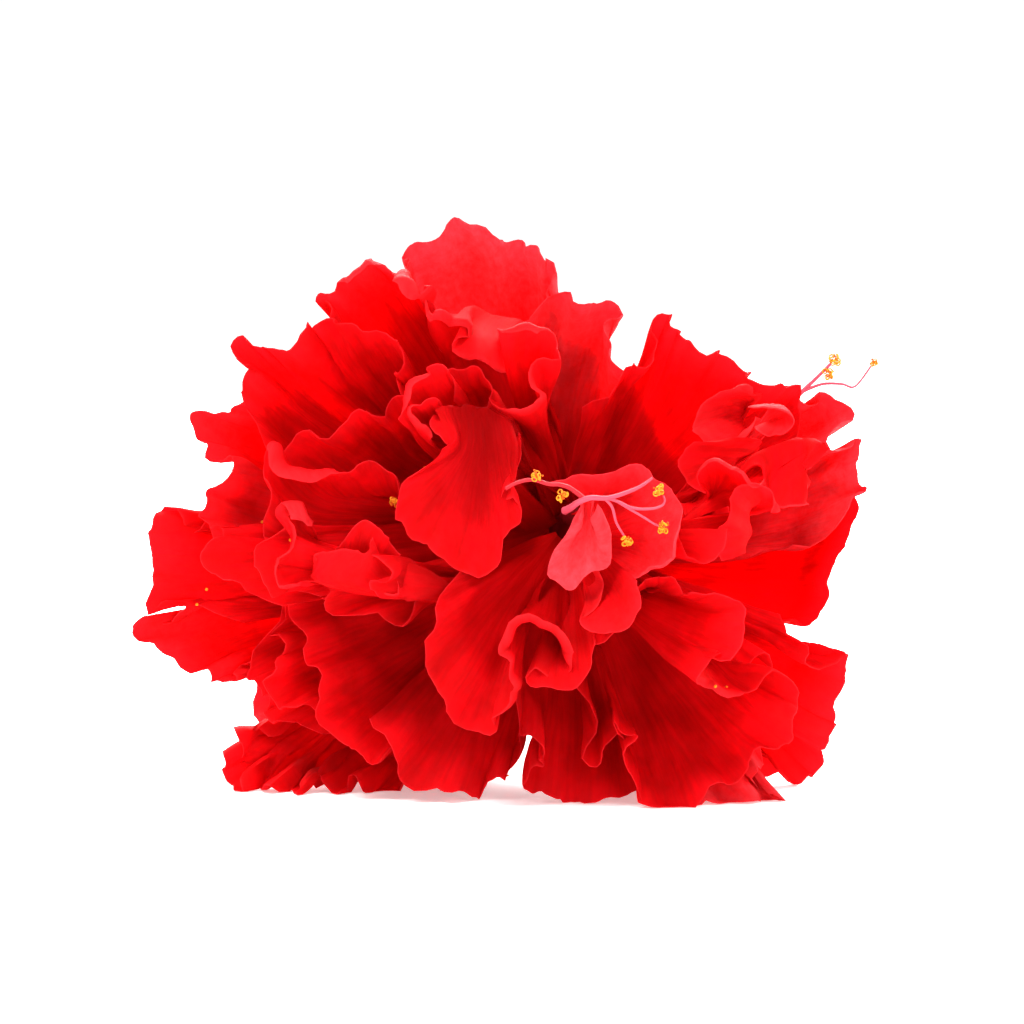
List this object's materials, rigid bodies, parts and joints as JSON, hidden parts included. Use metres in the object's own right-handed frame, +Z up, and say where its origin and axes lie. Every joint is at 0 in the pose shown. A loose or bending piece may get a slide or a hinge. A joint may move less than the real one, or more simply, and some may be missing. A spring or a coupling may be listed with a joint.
{
  "type": "hibiscus flower",
  "caption": "Double hibiscus bloom with layers of waved petals round a stamen column, picked and laid on its lower petals as a decoration or a garnish",
  "frame": {"origin": "bottom centre of the bloom's bounding box, on the surface that the lower petals rest on", "axes": "+X across the bloom to the viewer's right, +Y from its open face back to the cut stalk, +Z up"},
  "size_m": [0.1246, 0.0922, 0.0948],
  "materials": {
    "red_petal": "satin",
    "red_column": "satin",
    "pink_stamen": "satin",
    "green_sepal": "satin",
    "green_stalk": "satin"
  },
  "bodies": {
    "root": {"behind_stamens": "red_petal", "calyx": "green_sepal", "column": "red_column", "crest_cup": "red_petal", "crest_lobe_left": "red_petal", "crest_lobe_middle": "red_petal", "crest_wave": "red_petal", "epicalyx": "green_sepal", "foot_right": "red_petal", "guard_left": "red_petal", "guard_lower_back": "red_petal", "guard_lower_back_left": "red_petal", "guard_lower_left": "red_petal", "guard_lower_right": "red_petal", "guard_right": "red_petal", "guard_top": "red_petal", "guard_upper_right": "red_petal", "left_cup": "red_petal", "left_curl": "red_petal", "left_flap": "red_petal", "left_frill": "red_petal", "left_frill_inner": "red_petal", "left_high": "red_petal", "left_low_lobe": "red_petal", "left_mid_lobe": "red_petal", "left_petaloid": "red_petal", "left_petaloid_high": "red_petal", "left_roll": "red_petal", "left_shoulder": "red_petal", "lower_centre": "red_petal", "lower_left": "red_petal", "lower_left_centre": "red_petal", "lower_left_front": "red_petal", "lower_lobe": "red_petal", "lower_right": "red_petal", "notch_petaloid": "red_petal", "pale_lobe": "red_petal", "right_arch": "red_petal", "right_arch_lower": "red_petal", "right_cup": "red_petal", "right_fold": "red_petal", "right_low": "red_petal", "right_ruffle": "red_petal", "right_shoulder": "red_petal", "stalk": "green_stalk", "stamens": "pink_stamen", "stamens_left": "pink_stamen", "stamens_right": "pink_stamen", "tongue": "red_petal", "top_left_ruffle": "red_petal", "upper_left": "red_petal", "upper_right": "red_petal"}
  },
  "joints": []
}
